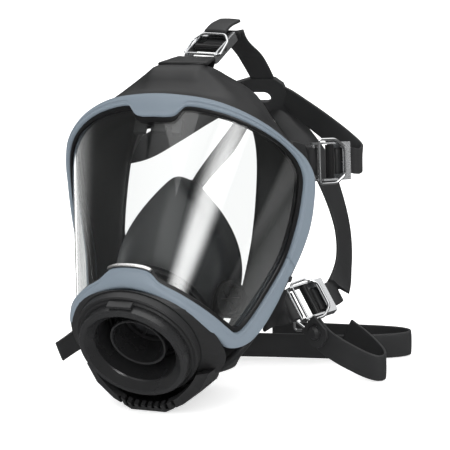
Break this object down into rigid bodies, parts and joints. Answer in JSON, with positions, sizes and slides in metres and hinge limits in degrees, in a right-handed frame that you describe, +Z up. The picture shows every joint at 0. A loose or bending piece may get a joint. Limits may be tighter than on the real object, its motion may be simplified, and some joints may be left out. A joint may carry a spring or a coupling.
{
  "type": "full face respirator",
  "caption": "Rubber full face mask with a conical visor in a clamped frame, round air port, exhalation cover, nose cup, buckled head harness and neck strap.",
  "frame": {"origin": "centre of the bounding box in plan, on the surface the mask stands on", "axes": "+Z up, -Y the way the visor faces, +X towards the wearer's left"},
  "size_m": [0.2264, 0.2224, 0.232],
  "materials": {
    "clear_lens": "gloss",
    "frame_plastic": "satin",
    "gasket_rubber": "matte",
    "face_rubber": "matte",
    "cup_rubber": "matte",
    "valve_rubber": "matte",
    "strap_rubber": "matte",
    "buckle_steel": "satin",
    "bright_wire": "polished",
    "roller_plastic": "matte",
    "spring_steel": "satin",
    "diaphragm_film": "satin",
    "black_plastic": "satin"
  },
  "bodies": {
    "root": {"buckle_frame_cheeks": "buckle_steel", "buckle_frame_temples": "buckle_steel", "buckle_frame_top": "buckle_steel", "component_housing": "black_plastic", "exhalation_cover": "black_plastic", "exhalation_spring": "spring_steel", "exhalation_valve_seat": "black_plastic", "face_blank": "face_rubber", "face_seal_lip": "face_rubber", "frame_nuts": "spring_steel", "frame_screws": "spring_steel", "harness_lower_strap_left": "strap_rubber", "harness_lower_strap_right": "strap_rubber", "harness_plate": "strap_rubber", "harness_temple_strap_left": "strap_rubber", "harness_temple_strap_right": "strap_rubber", "harness_top_strap": "strap_rubber", "housing_collar": "black_plastic", "inhalation_valve_seat": "black_plastic", "lens": "clear_lens", "lens_frame_lower": "frame_plastic", "lens_frame_upper": "frame_plastic", "lens_gasket": "gasket_rubber", "lower_spring_clip": "spring_steel", "neck_strap_end": "strap_rubber", "neck_strap_lap": "strap_rubber", "neck_strap_long": "strap_rubber", "neck_strap_loop": "strap_rubber", "neck_strap_rings": "bright_wire", "nose_cup": "cup_rubber", "nose_cup_valve_seats": "black_plastic", "port_gasket": "gasket_rubber", "port_lock_ring": "black_plastic", "port_ring": "black_plastic", "port_sleeve": "black_plastic", "speech_diaphragm": "diaphragm_film", "speech_diaphragm_ring": "black_plastic", "spring_retainer": "black_plastic", "strap_tab_cheek_left": "face_rubber", "strap_tab_cheek_right": "face_rubber", "strap_tab_temple_left": "face_rubber", "strap_tab_temple_right": "face_rubber", "strap_tab_top": "face_rubber", "top_retainer_clip": "black_plastic", "top_strap_end": "strap_rubber"},
    "buckle_loop_top": {"buckle_loop_top": "bright_wire"},
    "buckle_roller_top": {"buckle_roller_top": "roller_plastic"},
    "buckle_loop_temple_left": {"buckle_loop_temple_left": "bright_wire"},
    "buckle_roller_temple_left": {"buckle_roller_temple_left": "roller_plastic"},
    "buckle_loop_temple_right": {"buckle_loop_temple_right": "bright_wire"},
    "buckle_roller_temple_right": {"buckle_roller_temple_right": "roller_plastic"},
    "buckle_loop_cheek_left": {"buckle_loop_cheek_left": "bright_wire"},
    "buckle_roller_cheek_left": {"buckle_roller_cheek_left": "roller_plastic"},
    "buckle_loop_cheek_right": {"buckle_loop_cheek_right": "bright_wire"},
    "buckle_roller_cheek_right": {"buckle_roller_cheek_right": "roller_plastic"},
    "exhalation_disc": {"exhalation_valve_disc": "valve_rubber"},
    "inhalation_disc": {"inhalation_valve_disc": "valve_rubber"},
    "cup_disc_left": {"nose_cup_valve_disc_left": "valve_rubber"},
    "cup_disc_right": {"nose_cup_valve_disc_right": "valve_rubber"},
    "strap_stud": {"neck_strap_stud": "strap_rubber"}
  },
  "joints": [
    {"name": "loop_swing_top", "type": "hinge", "parent": "root", "child": "buckle_loop_top", "pos_m": [-0.009, 0.02873, 0.21058], "axis": [0.9686, -0.2468, -0.0312], "range_deg": [0, 60]},
    {"name": "roller_turn_top", "type": "hinge", "parent": "root", "child": "buckle_roller_top", "pos_m": [-0.00679, 0.03697, 0.21386], "axis": [-0.9686, 0.2468, 0.0312], "continuous": true},
    {"name": "loop_swing_temple_left", "type": "hinge", "parent": "root", "child": "buckle_loop_temple_left", "pos_m": [0.06575, 0.04184, 0.13971], "axis": [0.047, -0.1011, -0.9938], "range_deg": [0, 60]},
    {"name": "roller_turn_temple_left", "type": "hinge", "parent": "root", "child": "buckle_roller_temple_left", "pos_m": [0.07009, 0.04986, 0.1391], "axis": [-0.047, 0.1011, 0.9938], "continuous": true},
    {"name": "loop_swing_temple_right", "type": "hinge", "parent": "root", "child": "buckle_loop_temple_right", "pos_m": [-0.08313, 0.04184, 0.13971], "axis": [0.047, 0.1011, 0.9938], "range_deg": [0, 60]},
    {"name": "roller_turn_temple_right", "type": "hinge", "parent": "root", "child": "buckle_roller_temple_right", "pos_m": [-0.08747, 0.04986, 0.1391], "axis": [-0.047, -0.1011, -0.9938], "continuous": true},
    {"name": "loop_swing_cheek_left", "type": "hinge", "parent": "root", "child": "buckle_loop_cheek_left", "pos_m": [0.05154, 0.03893, 0.04537], "axis": [0.5579, -0.3063, -0.7713], "range_deg": [0, 60]},
    {"name": "roller_turn_cheek_left", "type": "hinge", "parent": "root", "child": "buckle_roller_cheek_left", "pos_m": [0.05589, 0.04697, 0.04533], "axis": [-0.5579, 0.3063, 0.7713], "continuous": true},
    {"name": "loop_swing_cheek_right", "type": "hinge", "parent": "root", "child": "buckle_loop_cheek_right", "pos_m": [-0.06892, 0.03893, 0.04537], "axis": [0.5579, 0.3063, 0.7713], "range_deg": [0, 60]},
    {"name": "roller_turn_cheek_right", "type": "hinge", "parent": "root", "child": "buckle_roller_cheek_right", "pos_m": [-0.07328, 0.04697, 0.04533], "axis": [-0.5579, -0.3063, -0.7713], "continuous": true},
    {"name": "exhalation_valve_lift", "type": "slide", "parent": "root", "child": "exhalation_disc", "axis": [0, -0.1736, -0.9848], "range_m": [0, 0.0025], "stiffness_N_per_m": 60, "springref_m": -0.0015, "deforming": ["exhalation_spring"]},
    {"name": "inhalation_valve_lift", "type": "slide", "parent": "root", "child": "inhalation_disc", "axis": [0, 0.8757, 0.4828], "range_m": [0, 0.0025]},
    {"name": "cup_valve_lift_left", "type": "slide", "parent": "root", "child": "cup_disc_left", "axis": [-0.8831, 0.4532, -0.1216], "range_m": [0, 0.002], "stiffness_N_per_m": 20, "springref_m": -0.0006},
    {"name": "cup_valve_lift_right", "type": "slide", "parent": "root", "child": "cup_disc_right", "axis": [0.8831, 0.4532, -0.1216], "range_m": [0, 0.002], "stiffness_N_per_m": 20, "springref_m": -0.0006},
    {"name": "stud_turn", "type": "hinge", "parent": "root", "child": "strap_stud", "pos_m": [0.06601, 0.02908, 0.0288], "axis": [-0.3581, -0.9328, 0.0401], "continuous": true}
  ]
}
